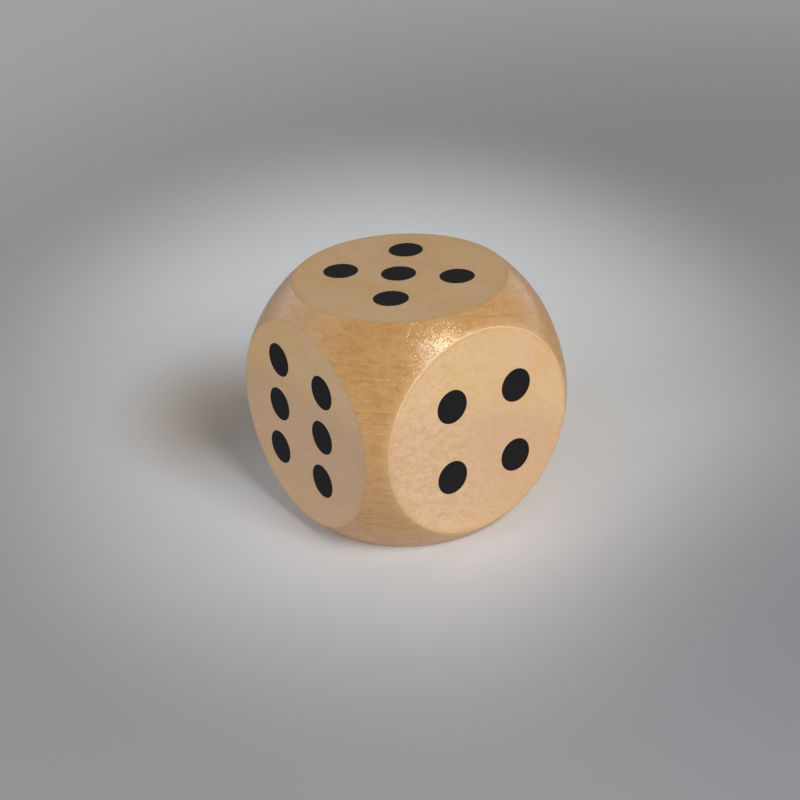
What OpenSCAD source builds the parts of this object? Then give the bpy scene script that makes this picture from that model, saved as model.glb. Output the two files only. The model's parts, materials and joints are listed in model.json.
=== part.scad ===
// Wooden die: a cube of pale hardwood, turned round at its edges and corners,
// with a round flat left on each face and pips printed on it in black ink.
// Opposite faces add up to seven, and one, two, three run anticlockwise
// round the corner that they share.
// Millimetres, +Z up, origin under the middle of the face that it rests on.

/* [Block] */
// Distance between two opposite flats
edge = 30; // [28:0.5:40]
// Diameter at which the plane of each flat meets the round
flat_d = 26.1; // [24:0.1:27]
// Radius of the softened rim between a flat and the round
rim_r = 0.3; // [0.2:0.1:0.8]

/* [Pips] */
// Diameter of one pip
pip_d = 4.25; // [3:0.05:5]
// Depth that the ink has soaked into the wood
ink_depth = 0.2; // [0.1:0.05:0.5]
// Distance between the outer columns, and between the outer rows, of the two and of the three
diagonal_pitch = 9.8; // [9:0.1:11]
// Distance between the two columns of the four
four_column_pitch = 9.4; // [8:0.1:11]
// Distance between the two rows of the four
four_row_pitch = 9.3; // [8:0.1:11]
// Distance between the two outer columns of the five
five_column_pitch = 9.7; // [9.5:0.1:11]
// Distance between the two outer rows of the five
five_row_pitch = 10.5; // [9.5:0.1:11]
// Distance between the two columns of the six
six_column_pitch = 9.2; // [8:0.1:10]
// Distance between neighbouring rows of the six
six_row_pitch = 6.2; // [5.5:0.1:7]

/* [Print] */
// Shift of the four to the right of its flat's centre, seen from outside
four_right = 0.7; // [-1:0.1:1]
// Shift of the four upwards
four_up = -0.2; // [-1:0.1:1]
// Turn of the four in degrees, anticlockwise seen from outside
four_turn = -1.8; // [-6:0.1:6]
// Shift of the five towards +X
five_right = 0.3; // [-1:0.1:1]
// Shift of the five towards +Y
five_up = 0.7; // [-1:0.1:1]
// Turn of the five in degrees, anticlockwise seen from above
five_turn = 0; // [-6:0.1:6]
// Shift of the six to the right of its flat's centre, seen from outside
six_right = -0.6; // [-1:0.1:1]
// Shift of the six upwards
six_up = 0.3; // [-1:0.1:1]
// Turn of the six in degrees, anticlockwise seen from outside
six_turn = -5.3; // [-6:0.1:6]

/* [Hidden] */

wood = "#cfa574";
ink = "#242122";
$fn = 96;
// Facets round a small circle, such as a pip or the arc of a rim
small_fn = 32;
// How far a cutter runs past what it cuts
past = 1;

half = edge / 2;
// Radius of the round, a sphere about the cube's centre that each flat cuts at flat_d
round_r = sqrt(half ^ 2 + (flat_d / 2) ^ 2);
// Centre of a rim's arc: its distance from the flat's axis, and along that axis from the cube's centre
rim_out = sqrt((round_r - rim_r) ^ 2 - (half - rim_r) ^ 2);
rim_up = half - rim_r;
// Distance along that axis at which the arc has run into the round
round_up = rim_up * round_r / (round_r - rim_r);

// Turns that bring a layout seen from above to the face of each number, one to six
facings = [[90, 0, 90], [180, 0, 0], [90, 0, 180], [90, 0, 0], [0, 0, 0], [90, 0, 270]];
// Places of each number's pips on its face, before its print is shifted and turned
layouts = [
    [[0, 0]],
    diagonal(diagonal_pitch),
    concat([[0, 0]], diagonal(diagonal_pitch)),
    grid(four_column_pitch, four_row_pitch, [-1, 1]),
    concat([[0, 0]], grid(five_column_pitch, five_row_pitch, [-1, 1])),
    grid(six_column_pitch, 2 * six_row_pitch, [-1:1]),
];
// Shift and turn of each number's print
shifts = [[0, 0], [0, 0], [0, 0], [four_right, four_up], [five_right, five_up], [six_right, six_up]];
turns = [0, 0, 0, four_turn, five_turn, six_turn];

// Two columns of pips, the outermost rows that height apart
function grid(width, height, rows) = [for (column = [-1, 1], row = rows) [column * width, row * height] / 2];
// Two pips on the rising diagonal of a square
function diagonal(side) = [for (end = [-1, 1]) [end, end] * side / 2];

// Half section of a disc as thick as the cube: each rim is an arc that runs into the round,
// and the step past it starts on the round and stays outside
module rim_section() {
    translate([0, -half]) square([rim_out, edge]);
    translate([0, -round_up]) square([round_r + past, 2 * round_up]);
    for (side = [-1, 1]) translate([rim_out, side * rim_up]) circle(r = rim_r, $fn = small_fn);
}

// The round, cut by the six flats with their softened rims, about the cube's centre
module turned_block() {
    intersection() {
        sphere(r = round_r);
        intersection_for (facing = [facings[0], facings[1], facings[2]])
            rotate(facing) rotate_extrude() rim_section();
    }
}

// One number's pips as discs of ink level with their flat, or reaching over it as cutters
module pips(number, over = 0) {
    translate([0, 0, half])
        rotate(facings[number - 1])
            translate([shifts[number - 1].x, shifts[number - 1].y, half - ink_depth])
                rotate(turns[number - 1])
                    for (place = layouts[number - 1])
                        translate(place) cylinder(h = ink_depth + over, d = pip_d, $fn = small_fn);
}

module body() {
    color(wood) difference() {
        translate([0, 0, half]) turned_block();
        for (number = [1:6]) pips(number, over = past);
    }
}

module one_pip() {
    color(ink) pips(1);
}

module two_pips() {
    color(ink) pips(2);
}

module three_pips() {
    color(ink) pips(3);
}

module four_pips() {
    color(ink) pips(4);
}

module five_pips() {
    color(ink) pips(5);
}

module six_pips() {
    color(ink) pips(6);
}

body();
one_pip();
two_pips();
three_pips();
four_pips();
five_pips();
six_pips();
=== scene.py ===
import json
import math

import bpy
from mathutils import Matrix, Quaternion, Vector

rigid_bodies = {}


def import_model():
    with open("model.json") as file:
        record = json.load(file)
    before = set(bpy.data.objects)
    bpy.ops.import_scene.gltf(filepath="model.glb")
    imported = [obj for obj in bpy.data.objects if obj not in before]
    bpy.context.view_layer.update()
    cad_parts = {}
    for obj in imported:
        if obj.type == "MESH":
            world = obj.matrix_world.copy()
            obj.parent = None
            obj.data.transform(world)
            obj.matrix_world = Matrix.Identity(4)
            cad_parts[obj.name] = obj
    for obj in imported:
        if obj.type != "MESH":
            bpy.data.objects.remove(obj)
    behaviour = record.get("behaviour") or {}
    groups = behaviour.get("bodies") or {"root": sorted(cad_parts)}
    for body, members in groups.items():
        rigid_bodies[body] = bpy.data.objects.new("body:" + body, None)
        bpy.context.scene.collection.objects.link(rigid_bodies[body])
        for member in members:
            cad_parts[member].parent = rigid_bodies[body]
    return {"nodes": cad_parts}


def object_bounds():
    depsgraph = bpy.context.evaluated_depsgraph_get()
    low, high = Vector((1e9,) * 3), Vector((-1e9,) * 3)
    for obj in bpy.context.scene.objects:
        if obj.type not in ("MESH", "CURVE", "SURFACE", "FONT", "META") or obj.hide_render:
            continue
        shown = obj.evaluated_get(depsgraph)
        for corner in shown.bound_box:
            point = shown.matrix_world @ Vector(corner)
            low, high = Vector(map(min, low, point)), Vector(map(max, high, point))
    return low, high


# A wooden die: a block turned to a ball, six flats sanded on it and the pips printed in black.
# Everything is in metres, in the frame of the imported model.

mm = 0.001

for leftOver in list(bpy.data.objects):
    bpy.data.objects.remove(leftOver)  # whatever an empty file brings along

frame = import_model()
cadLow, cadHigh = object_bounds()
dieCentre = (cadLow + cadHigh) / 2
dieHalf = (cadHigh.z - cadLow.z) / 2
print("frame loaded:", len(frame["nodes"]), "nodes, edge", round(2 * dieHalf / mm, 2), "mm")


def fromHex(code):
    # an sRGB hex value as linear red, green, blue and alpha
    channels = [int(code[start:start + 2], 16) / 255 for start in (1, 3, 5)]
    linear = [each / 12.92 if each <= 0.04045 else ((each + 0.055) / 1.055) ** 2.4 for each in channels]
    return (*linear, 1.0)


def directionTo(azimuth, elevation):
    # azimuth 0 is straight in front, towards -Y, and 90 is towards +X
    turn = math.radians(azimuth)
    climb = math.radians(elevation)
    return Vector((math.sin(turn) * math.cos(climb), -math.cos(turn) * math.cos(climb), math.sin(climb)))


def addNode(tree, kind, sockets, **settings):
    # sockets maps an input's name or number to a node, an output or a plain value
    made = tree.nodes.new("ShaderNode" + kind)
    for name, value in settings.items():
        setattr(made, name, value)
    for name, value in sockets.items():
        if isinstance(name, int):
            socket = made.inputs[name]
        else:
            socket = next(each for each in made.inputs if each.enabled and each.name == name)
        if isinstance(value, bpy.types.Node):
            value = next(each for each in value.outputs if each.enabled)
        if isinstance(value, bpy.types.NodeSocket):
            tree.links.new(value, socket)
        else:
            socket.default_value = value
    return made


def newMaterial(name):
    material = bpy.data.materials.new(name)
    material.use_nodes = True
    material.node_tree.nodes.clear()
    return material, material.node_tree


def deselectAll():
    for each in bpy.context.selected_objects:
        each.select_set(False)


viewpoint = {
    "azimuth": -34.22,
    "elevation": 27.61,
    "roll": -2.92,
    "distance": 241.7 * mm,
    "aim": Vector((-1.02, -0.18, -1.38)) * mm,  # from the die's centre
    "lens": 88.2,
    "clipFrom": 0.01,
    "clipTo": 20,
}


def addCamera(look):
    back = directionTo(look["azimuth"], look["elevation"])
    data = bpy.data.cameras.new("camera")
    data.lens = look["lens"]
    data.clip_start = look["clipFrom"]
    data.clip_end = look["clipTo"]
    camera = bpy.data.objects.new("camera", data)
    bpy.context.scene.collection.objects.link(camera)
    camera.rotation_mode = "QUATERNION"
    tilt = Quaternion(back, math.radians(look["roll"]))
    camera.rotation_quaternion = tilt @ (-back).to_track_quat("-Z", "Y")
    camera.location = dieCentre + look["aim"] + back * look["distance"]
    bpy.context.scene.camera = camera


addCamera(viewpoint)
print("camera placed")


# the patches are soft ovals laid over one another, all turned alike: each colours what lies inside
# it or what lies outside it, and its edge runs between two shares of its own width and depth
floorLook = {
    "size": 1.3,
    "roughness": 0.9,
    "shine": 0.2,
    "paleColour": "#F2F4F5",
    "patchTurn": -30,
    "patches": {
        # painted pool of light: the paper is pale round the die and greys away from it, as lamplight falls
        # off
        "paintedLightPool": {"centre": (22 * mm, 38 * mm, 0), "across": 48 * mm, "deep": 68 * mm,
                 "edge": (0.5, 1.5), "outside": "#A8A7A9"},
        # painted shadow and bounce light: a darker, warm patch where the wood throws its warm light into its
        # own shadow
        "paintedBounceShadow": {"centre": (-8 * mm, 35 * mm, 0), "across": 15 * mm, "deep": 21 * mm,
                 "edge": (0.2, 1.2), "inside": "#DCD3C5"},
        # painted shade: the paper in front is drawn a little greyer, where the lamps reach less
        "paintedDimFront": {"centre": (25 * mm, -68 * mm, 0), "across": 45 * mm, "deep": 50 * mm,
                "edge": (0.2, 1.3), "inside": "#9C9A9F"},
        # far out it is pale once more, as a plain ground for low views and for what the wax mirrors
        "beyond": {"centre": (55 * mm, -45 * mm, 0), "across": 100 * mm, "deep": 100 * mm,
                   "edge": (1.1, 3.0), "outside": "#EEEEEF"},
    },
}


def paperFloor(look):
    # matt seamless paper: it has no gloss and no grain, so the eye sees a soft shadow; most patches on it
    # are painted light and shade
    material, tree = newMaterial("matPaper")
    place = addNode(tree, "TexCoord", {}).outputs["Object"]
    colour = fromHex(look["paleColour"])
    for patch in look["patches"].values():
        oval = addNode(tree, "Mapping", {
            "Vector": place,
            "Location": patch["centre"],
            "Rotation": (0, 0, math.radians(look["patchTurn"])),
            "Scale": (patch["across"], patch["deep"], 1),
        }, vector_type="TEXTURE")
        away = addNode(tree, "VectorMath", {0: oval}, operation="LENGTH").outputs["Value"]
        inner, outer = patch["edge"]
        away = addNode(tree, "MapRange", {
            "Value": away, "From Min": inner, "From Max": outer,
        }, interpolation_type="SMOOTHSTEP")
        inside = fromHex(patch["inside"]) if "inside" in patch else colour
        outside = fromHex(patch["outside"]) if "outside" in patch else colour
        colour = addNode(tree, "Mix", {"Factor": away, "A": inside, "B": outside}, data_type="RGBA")
    shader = addNode(tree, "BsdfPrincipled", {
        "Base Color": colour, "Roughness": look["roughness"], "Specular IOR Level": look["shine"],
    })
    addNode(tree, "OutputMaterial", {"Surface": shader})
    return material


def addFloor(look):
    deselectAll()
    bpy.ops.mesh.primitive_plane_add(size=look["size"], location=(0, 0, cadLow.z))
    floor = bpy.context.object
    floor.name = "floor"
    floor.data.materials.append(paperFloor(look))


addFloor(floorLook)
print("floor laid")


# a level of 1 lights a surface that faces the lamp so that its colour renders as written;
# what only mirrors is a bright card that the wax shows and that lights nothing
lampLook = {
    # high in front, the light that models the die
    "window": {"azimuth": -1, "elevation": 39, "away": 0.6, "wide": 0.25, "high": 0.33, "level": 0.57,
               "lights": True, "mirrored": True, "colour": "#FFFFFF"},
    # the warm flash on the corner of the round that points at the viewer
    "glint": {"azimuth": 11, "elevation": 46, "away": 0.59, "wide": 0.2, "high": 0.2, "level": 0.53,
              "lights": False, "mirrored": True, "colour": "#FFEFC4"},
    # low and wide at the front right
    "fill": {"azimuth": 30, "elevation": 10, "away": 0.7, "wide": 0.7, "high": 0.35, "level": 0.45,
             "lights": True, "mirrored": True, "colour": "#FFFFFF"},
    # cool light off a wall on the left
    "wall": {"azimuth": -78, "elevation": 18, "away": 0.7, "wide": 0.8, "high": 0.5, "level": 0.67,
             "lights": True, "mirrored": False, "colour": "#E3EEFF"},
    # the pale sheen along the upper left of the round
    "backScreen": {"azimuth": -150, "elevation": 33, "away": 0.7, "wide": 0.95, "high": 0.62, "level": 0.55,
                   "lights": False, "mirrored": True, "colour": "#F4F8F8"},
    # a faint sheen along its right
    "sideScreen": {"azimuth": 88, "elevation": 18, "away": 0.7, "wide": 0.8, "high": 0.6, "level": 0.18,
                   "lights": False, "mirrored": True, "colour": "#FFFFFF"},
}
# the room lights evenly and weakly, and looks like a pale wall under a grey ceiling;
# ceilingAt is the sine of the height at which the ceiling's grey is full
roomLight = {
    "colour": "#FFF1E6",
    "strength": 0.136,
    "horizonColour": "#EEEEEF",
    "ceilingColour": "#808081",
    "ceilingAt": 0.4,
}


def addLamp(name, look):
    towards = directionTo(look["azimuth"], look["elevation"])
    data = bpy.data.lights.new(name, "AREA")
    data.shape = "RECTANGLE"
    data.size = look["wide"]
    data.size_y = look["high"]
    data.energy = look["level"] * math.pi ** 2 * look["away"] ** 2
    data.color = fromHex(look["colour"])[:3]
    lamp = bpy.data.objects.new(name, data)
    bpy.context.scene.collection.objects.link(lamp)
    lamp.location = dieCentre + towards * look["away"]
    lamp.rotation_euler = towards.to_track_quat("Z", "Y").to_euler()
    lamp.visible_camera = False
    lamp.visible_diffuse = look["lights"]
    lamp.visible_glossy = look["mirrored"]


def addRoomLight(look):
    world = bpy.data.worlds.new("room")
    bpy.context.scene.world = world
    world.use_nodes = True
    tree = world.node_tree
    tree.nodes.clear()
    path = addNode(tree, "LightPath", {})
    seen = addNode(tree, "Math", {
        0: path.outputs["Is Camera Ray"], 1: path.outputs["Is Glossy Ray"],
    }, operation="MAXIMUM")
    seen = addNode(tree, "Math", {0: seen, 1: path.outputs["Is Transmission Ray"]}, operation="MAXIMUM")
    light = addNode(tree, "Background", {"Color": fromHex(look["colour"]), "Strength": look["strength"]})
    direction = addNode(tree, "TexCoord", {}).outputs["Generated"]
    height = addNode(tree, "SeparateXYZ", {0: direction}).outputs[2]
    climb = addNode(tree, "MapRange", {"Value": height, "From Min": 0.0, "From Max": look["ceilingAt"]})
    backdrop = addNode(tree, "Mix", {
        "Factor": climb, "A": fromHex(look["horizonColour"]), "B": fromHex(look["ceilingColour"]),
    }, data_type="RGBA")
    shown = addNode(tree, "Background", {"Color": backdrop, "Strength": 1.0})
    both = addNode(tree, "MixShader", {0: seen, 1: light, 2: shown})
    addNode(tree, "OutputWorld", {"Surface": both})


for lampName, lamp in lampLook.items():
    addLamp(lampName, lamp)
addRoomLight(roomLight)
bpy.context.scene.view_settings.view_transform = "Standard"
print("lamps set")


# a layer is a mask, how much of it covers, and its tone
woodLook = {
    "tones": {
        "flatPale": "#D3B187",
        "flatGold": "#CCA46B",
        "flatPink": "#D2AA89",
        "flatLow": "#BE977A",
        "sanded": "#E2C39E",
        "ball": "#AB7E44",
        "ballPale": "#C2945A",
        "ballPink": "#BE976D",
        "ballRust": "#AA6F3B",
        "late": "#7E4E25",
        "pore": "#8D6238",
        "ray": "#E0BD92",
        # the rim tone is worn pale wood and also painted highlight along the rims
        "rim": "#DCB786",
    },
    "flatLayers": [
        ("blotch", 0.6, "flatGold"),
        ("flush", 0.6, "flatPink"),
        ("mottle", 0.35, "flatGold"),
        ("low", 0.52, "flatLow"),
        ("sand", 0.1, "sanded"),
        ("cloud", 0.1, "sanded"),
        ("fuzz", 0.34, "sanded"),
        ("nick", 0.4, "pore"),
        ("late", 0.09, "late"),
        ("early", 0.1, "ray"),
        ("dash", 0.05, "late"),
        ("ray", 0.1, "ray"),
        ("pore", 0.06, "pore"),
        ("creep", 0.3, "ballPale"),
    ],
    "ballLayers": [
        ("streak", 0.45, "ballPale"),
        ("low", 0.6, "ballPink"),
        ("cloud", 0.62, "ballRust"),
        ("mottle", 0.5, "ballPale"),
        ("sand", 0.2, "ballPale"),
        ("late", 0.5, "late"),
        ("early", 0.25, "ray"),
        ("dash", 0.14, "late"),
        ("ray", 0.1, "ray"),
        ("speck", 0.3, "pore"),
        ("worn", 0.27, "rim"),
    ],
    "flatRoughness": 0.62,
    "ballRoughness": 0.5,
    "shine": 0.22,
    "gritCell": 0.16 * mm,  # about twice as coarse as real sanding marks, or none would show
    "gritHeight": 0.012 * mm,
    "waxShare": 0.65,
    "waxRoughness": 0.09,
    "waxIor": 1.5,
    "waxFacet": 0.108 * mm,  # coarser than in real wax, so that single facets flash
    "waxTilt": 1.8,
    "waxCalm": 3.5,  # the higher, the fewer facets lean far
}

# depths are measured down from the plane of the nearest flat: each pair says where a mask starts
# and where it is full
edgeLook = {
    "flatDepth": (0.022 * mm, 0.006 * mm),
    "rimDepth": (0.13 * mm, 0.05 * mm),
    "wornDepth": (0.8 * mm, 0.08 * mm),
    "raggedCell": 0.5 * mm,
    "raggedLeast": 0.4,
    "raggedSpread": 1.2,
    "endReach": 0.6 * mm,  # how far round from the end grain its sanding still shows
    "sideRim": 0.1,
    "endRim": 0.85,
    # the pale rim's painted highlight is strongest on the upper half and fades below
    "litRimHeight": (-5 * mm, 12 * mm),  # from the centre: below, the pale rim is all but gone
    "litRimShare": (0.05, 0.7),
    "breakFade": 0.2,
    "creepReach": (19.48 * mm, 19.72 * mm),  # from the centre, just short of the round
    "coarseSide": (4 * mm, -7 * mm),
    "coarseLeast": 0.15,
}

# growth rings about a pith that runs along Y, left of the die's middle and far below it:
# each ring's distance from the pith in mm, and how dark its late wood is
ringLook = {
    "pith": Vector((-13, 0, -47)) * mm,
    "rings": [
        (35.8, 0.3), (37.9, 0.35), (39.8, 0.3), (41.7, 0.45), (43.9, 0.75), (45.8, 0.2), (47.3, 0.25),
        (48.9, 0.35), (50.9, 0.45), (52.3, 0.7), (53.5, 0.75), (56.8, 0.45), (58.2, 0.3), (60.2, 0.15),
        (63.0, 0.4), (63.9, 0.25), (64.9, 0.15),
    ],
    "lateWidth": 0.3 * mm,
    "earlyWidth": 0.2 * mm,
    "waver": 0.5 * mm,
    "waverCell": 9 * mm,
    "height": 0.006 * mm,
    "lowReach": (54 * mm, 49 * mm),  # nearer the pith than this, towards the bottom of the die, the low layers are laid on
}

# each pattern is one noise, with its own cell along X, along the fibres and across the rings,
# and shows where the noise lies in the window; pores are drawn about three times as wide as real
# ones, and sand about twice as coarse, because both would be too fine to see
grainLook = {
    "blotch": {"cell": (7 * mm, 13 * mm, 6 * mm), "detail": 2, "window": (0.35, 0.65)},
    "flush": {"cell": (9 * mm, 9 * mm, 7 * mm), "detail": 2, "window": (0.45, 0.68)},
    "streak": {"cell": (2.2 * mm, 4 * mm, 0.45 * mm), "detail": 3, "window": (0.3, 0.7)},
    "fade": {"cell": (1.6 * mm, 3 * mm, 1.2 * mm), "detail": 3, "window": (0.3, 0.56)},
    "cloud": {"cell": (1.7 * mm, 3 * mm, 0.8 * mm), "detail": 3, "window": (0.42, 0.68)},
    "pore": {"cell": (0.24 * mm, 2.2 * mm, 0.24 * mm), "detail": 1, "window": (0.6, 0.74)},
    "ray": {"cell": (0.3 * mm, 1.6 * mm, 2.2 * mm), "detail": 2, "window": (0.58, 0.74)},
    "speck": {"cell": (0.3 * mm, 0.6 * mm, 0.2 * mm), "detail": 1, "window": (0.62, 0.74)},
    "dash": {"cell": (1.3 * mm, 2.4 * mm, 0.13 * mm), "detail": 1, "window": (0.58, 0.74)},
    "mottle": {"cell": (0.5 * mm, 0.9 * mm, 0.4 * mm), "detail": 3, "window": (0.3, 0.7)},
    "torn": {"cell": (0.8 * mm, 1.2 * mm, 0.5 * mm), "detail": 5, "window": (0.38, 0.62)},
    "sand": {"cell": (0.2 * mm, 0.2 * mm, 0.17 * mm), "detail": 2, "window": (0.35, 0.65)},
}


def grainMask(tree, place, look):
    space = addNode(tree, "Mapping", {"Vector": place, "Scale": look["cell"]}, vector_type="TEXTURE")
    noise = addNode(tree, "TexNoise", {"Vector": space, "Scale": 1.0, "Detail": look["detail"]})
    low, high = look["window"]
    return addNode(tree, "MapRange", {
        "Value": noise, "From Min": low, "From Max": high,
    }, interpolation_type="SMOOTHSTEP")


def flatMasks(tree, centred, look):
    # how deep a point lies under the plane of its nearest flat, with an uneven edge
    reach = addNode(tree, "VectorMath", {0: centred}, operation="ABSOLUTE")
    reach = addNode(tree, "SeparateXYZ", {0: reach})
    sideways = addNode(tree, "Math", {0: reach.outputs[0], 1: reach.outputs[1]}, operation="MAXIMUM")
    farthest = addNode(tree, "Math", {0: sideways, 1: reach.outputs[2]}, operation="MAXIMUM")
    depth = addNode(tree, "Math", {0: dieHalf, 1: farthest}, operation="SUBTRACT")
    ragged = addNode(tree, "TexNoise", {"Vector": centred, "Scale": 1 / look["raggedCell"], "Detail": 2.0})
    ragged = addNode(tree, "Math", {
        0: ragged, 1: look["raggedSpread"], 2: look["raggedLeast"],
    }, operation="MULTIPLY_ADD")
    depth = addNode(tree, "Math", {0: depth, 1: ragged}, operation="MULTIPLY")
    start, full = look["flatDepth"]
    onFlat = addNode(tree, "MapRange", {"Value": depth, "From Min": start, "From Max": full})
    # the fibres end on the two faces across Y, and round these the sanding rubbed the edge pale; the pale
    # rim is also painted highlight
    endGap = addNode(tree, "Math", {0: farthest, 1: reach.outputs[1]}, operation="SUBTRACT")
    onEnd = addNode(tree, "MapRange", {"Value": endGap, "From Min": look["endReach"], "From Max": 0.0})
    rubbedAndLit = addNode(tree, "MapRange", {
        "Value": onEnd, "To Min": look["sideRim"], "To Max": look["endRim"],
    })
    start, full = look["rimDepth"]
    rimPaleAndLit = addNode(tree, "MapRange", {
        "Value": depth, "From Min": start, "From Max": full, "To Max": rubbedAndLit,
    }, interpolation_type="SMOOTHSTEP")
    start, full = look["wornDepth"]
    worn = addNode(tree, "MapRange", {"Value": depth, "From Min": start, "From Max": full})
    worn = addNode(tree, "Math", {0: worn, 1: onEnd}, operation="MULTIPLY")
    return onFlat, rimPaleAndLit, onEnd, worn


def ringDistance(tree, centred, look):
    # distance from the pith, across the fibres, with a slow waver
    waver = addNode(tree, "TexNoise", {"Vector": centred, "Scale": 1 / look["waverCell"], "Detail": 3.0})
    fromPith = addNode(tree, "VectorMath", {0: centred, 1: look["pith"]}, operation="SUBTRACT")
    across = addNode(tree, "VectorMath", {0: fromPith, 1: (1, 0, 1)}, operation="MULTIPLY")
    distance = addNode(tree, "VectorMath", {0: across}, operation="LENGTH").outputs["Value"]
    waver = addNode(tree, "Math", {0: waver, 1: 0.5}, operation="SUBTRACT")
    return addNode(tree, "Math", {0: waver, 1: look["waver"], 2: distance}, operation="MULTIPLY_ADD")


def ringLines(tree, distance, look):
    # each ring darkens towards its outer edge, and the next one starts with a thin pale line
    late = 0.0
    early = 0.0
    for radius, weight in look["rings"]:
        gap = addNode(tree, "Math", {0: distance, 1: radius * mm}, operation="SUBTRACT")
        rise = addNode(tree, "MapRange", {
            "Value": gap, "From Min": -look["lateWidth"], "From Max": 0.0, "To Max": weight,
        }, interpolation_type="SMOOTHSTEP")
        fall = addNode(tree, "MapRange", {
            "Value": gap, "From Min": 0.0, "From Max": look["earlyWidth"], "To Min": weight, "To Max": 0.0,
        })
        inside = addNode(tree, "Math", {0: gap, 1: 0.0}, operation="LESS_THAN")
        outside = addNode(tree, "Math", {0: 1.0, 1: inside}, operation="SUBTRACT")
        late = addNode(tree, "Math", {0: rise, 1: inside, 2: late}, operation="MULTIPLY_ADD")
        early = addNode(tree, "Math", {0: fall, 1: outside, 2: early}, operation="MULTIPLY_ADD")
    return late, early


def beechMasks(tree, centred, edges, ringed, grain):
    # every mask that a layer of tone can name, and the masks of the flats and of the pale rim with its
    # painted highlight
    onFlat, rim, onEnd, worn = flatMasks(tree, centred, edges)
    distance = ringDistance(tree, centred, ringed)
    apart = addNode(tree, "SeparateXYZ", {0: centred})
    woodSpace = addNode(tree, "CombineXYZ", {0: apart.outputs[0], 1: apart.outputs[1], 2: distance})
    seen = {name: grainMask(tree, woodSpace, pattern) for name, pattern in grain.items()}
    seen["worn"] = worn
    late, early = ringLines(tree, distance, ringed)
    seen["late"] = addNode(tree, "Math", {0: late, 1: seen["fade"]}, operation="MULTIPLY")
    seen["early"] = addNode(tree, "Math", {0: early, 1: seen["fade"]}, operation="MULTIPLY")
    # towards the bottom the flats are drawn darker, and the round paler and pinker
    start, full = ringed["lowReach"]
    seen["low"] = addNode(tree, "MapRange", {
        "Value": distance, "From Min": start, "From Max": full,
    }, interpolation_type="SMOOTHSTEP")
    # the -X half of the end-grain faces was sanded less fine, and is fuzzy and nicked
    start, full = edges["coarseSide"]
    coarse = addNode(tree, "MapRange", {
        "Value": apart.outputs[0], "From Min": start, "From Max": full, "To Min": edges["coarseLeast"],
    }, interpolation_type="SMOOTHSTEP")
    fuzzy = addNode(tree, "Math", {0: onEnd, 1: coarse}, operation="MULTIPLY")
    seen["fuzz"] = addNode(tree, "Math", {0: fuzzy, 1: seen["torn"]}, operation="MULTIPLY")
    seen["nick"] = addNode(tree, "Math", {0: fuzzy, 1: seen["speck"]}, operation="MULTIPLY")
    # the wax of the ball crept a little way in over the edge of each flat
    fromCentre = addNode(tree, "VectorMath", {0: centred}, operation="LENGTH").outputs["Value"]
    start, full = edges["creepReach"]
    creep = addNode(tree, "MapRange", {
        "Value": fromCentre, "From Min": start, "From Max": full,
    }, interpolation_type="SMOOTHSTEP")
    seen["creep"] = addNode(tree, "Math", {0: creep, 1: seen["fade"]}, operation="MULTIPLY")
    # the rim shows in broken lengths, and most of all on the upper half, where it is painted highlight from
    # the light above
    start, full = edges["litRimHeight"]
    least, most = edges["litRimShare"]
    brokenAndLitAbove = addNode(tree, "MapRange", {
        "Value": apart.outputs[2], "From Min": start, "From Max": full, "To Min": least, "To Max": most,
    }, interpolation_type="SMOOTHSTEP")
    brokenAndLitAbove = addNode(tree, "Math", {
        0: seen["fade"], 1: edges["breakFade"], 2: brokenAndLitAbove,
    }, operation="MULTIPLY_ADD")
    rimPaleAndLit = addNode(tree, "Math", {0: rim, 1: brokenAndLitAbove}, operation="MULTIPLY")
    return seen, onFlat, rimPaleAndLit


def layTones(tree, seen, tones, first, layers):
    # lays one tone after another over the first, each by its mask and its strength
    colour = fromHex(tones[first])
    for name, strength, tone in layers:
        share = addNode(tree, "Math", {0: seen[name], 1: strength}, operation="MULTIPLY")
        colour = addNode(tree, "Mix", {
            "Factor": share, "A": colour, "B": fromHex(tones[tone]),
        }, data_type="RGBA")
    return colour


def waxFacets(tree, centred, level, look):
    # wax sets in tiny flat facets: most lie nearly level, and a few lean far enough to flash alone
    facets = addNode(tree, "TexVoronoi", {"Vector": centred, "Scale": 1 / look["waxFacet"]}).outputs["Color"]
    lean = addNode(tree, "VectorMath", {0: facets, 1: (0.5, 0.5, 0.5)}, operation="SUBTRACT")
    far = addNode(tree, "VectorMath", {0: lean}, operation="LENGTH").outputs["Value"]
    far = addNode(tree, "Math", {0: far, 1: look["waxCalm"]}, operation="POWER")
    far = addNode(tree, "Math", {0: far, 1: look["waxTilt"]}, operation="MULTIPLY")
    lean = addNode(tree, "VectorMath", {0: lean, "Scale": far}, operation="SCALE")
    leaning = addNode(tree, "VectorMath", {0: level, 1: lean}, operation="ADD")
    return addNode(tree, "VectorMath", {0: leaning}, operation="NORMALIZE")


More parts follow.
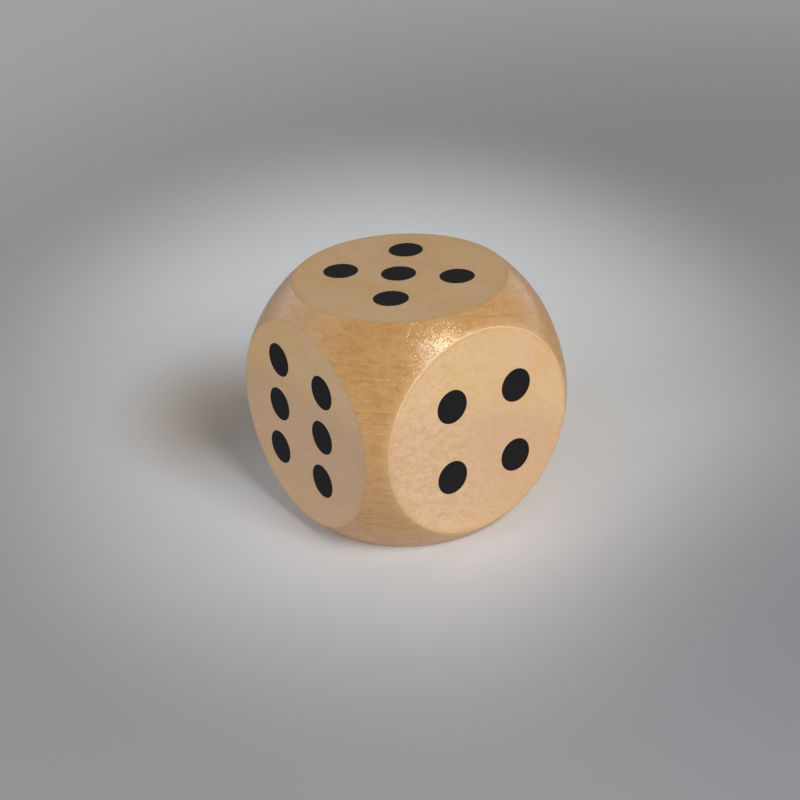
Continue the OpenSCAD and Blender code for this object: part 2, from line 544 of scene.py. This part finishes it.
def turnedBeech(look, edges, ringed, grain):
    # beech, turned round on a lathe and waxed, then sanded flat on six sides: the round is a deep
    # satin gold with fine lines and sparkles, and the bare flats are paler, matt and softly flecked
    material, tree = newMaterial("turnedBeech")
    place = addNode(tree, "TexCoord", {}).outputs["Object"]
    centred = addNode(tree, "VectorMath", {0: place, 1: dieCentre}, operation="SUBTRACT")
    seen, onFlat, rimPaleAndLit = beechMasks(tree, centred, edges, ringed, grain)
    onBall = addNode(tree, "Math", {0: 1.0, 1: onFlat}, operation="SUBTRACT")

    tones = look["tones"]
    flatTone = layTones(tree, seen, tones, "flatPale", look["flatLayers"])
    ballTone = layTones(tree, seen, tones, "ball", look["ballLayers"])
    # the pale rim: partly rubbed wood and partly painted highlight
    outer = addNode(tree, "Mix", {
        "Factor": rimPaleAndLit, "A": ballTone, "B": fromHex(tones["rim"]),
    }, data_type="RGBA")
    colour = addNode(tree, "Mix", {"Factor": onFlat, "A": outer, "B": flatTone}, data_type="RGBA")
    roughness = addNode(tree, "MapRange", {
        "Value": onFlat, "To Min": look["ballRoughness"], "To Max": look["flatRoughness"],
    })

    # on the ball the hard late wood stands a little proud, and grit has marked the whole block
    ridge = addNode(tree, "Math", {0: seen["late"], 1: onBall}, operation="MULTIPLY")
    ridges = addNode(tree, "Bump", {"Height": ridge, "Distance": ringed["height"], "Strength": 1.0})
    grit = addNode(tree, "TexNoise", {"Vector": centred, "Scale": 1 / look["gritCell"], "Detail": 1.0})
    relief = addNode(tree, "Bump", {
        "Height": grit, "Distance": look["gritHeight"], "Strength": 1.0, "Normal": ridges,
    })
    coat = addNode(tree, "Math", {0: onBall, 1: look["waxShare"]}, operation="MULTIPLY")
    shader = addNode(tree, "BsdfPrincipled", {
        "Base Color": colour,
        "Roughness": roughness,
        "Normal": relief,
        "Specular IOR Level": look["shine"],
        "Coat Weight": coat,
        "Coat Roughness": look["waxRoughness"],
        "Coat IOR": look["waxIor"],
        "Coat Normal": waxFacets(tree, centred, ridges, look),
    })
    addNode(tree, "OutputMaterial", {"Surface": shader})
    return material


inkLook = {
    "colour": "#131214",
    "fibreTint": "#1A1819",
    "roughness": 0.65,
    "shine": 0.1,
    "toothCell": 0.35 * mm,  # coarser than the fibres under the ink, so that it shows
    "toothHeight": 0.006 * mm,
}


def printedInk(look):
    # black ink, pad-printed on sanded wood: the eye sees a dense matt black, with a faint tooth
    # where the fibres show through it and no gloss
    material, tree = newMaterial("blackPadInk")
    place = addNode(tree, "TexCoord", {}).outputs["Object"]
    tooth = addNode(tree, "TexNoise", {"Vector": place, "Scale": 1 / look["toothCell"], "Detail": 3.0})
    colour = addNode(tree, "Mix", {
        "Factor": tooth, "A": fromHex(look["colour"]), "B": fromHex(look["fibreTint"]),
    }, data_type="RGBA")
    relief = addNode(tree, "Bump", {"Height": tooth, "Distance": look["toothHeight"], "Strength": 1.0})
    shader = addNode(tree, "BsdfPrincipled", {
        "Base Color": colour, "Roughness": look["roughness"], "Normal": relief,
        "Specular IOR Level": look["shine"],
    })
    addNode(tree, "OutputMaterial", {"Surface": shader})
    return material


beech = turnedBeech(woodLook, edgeLook, ringLook, grainLook)
ink = printedInk(inkLook)
for name, node in frame["nodes"].items():
    node.data.materials[0] = beech if name == "body" else ink
print("wood and ink dressed")
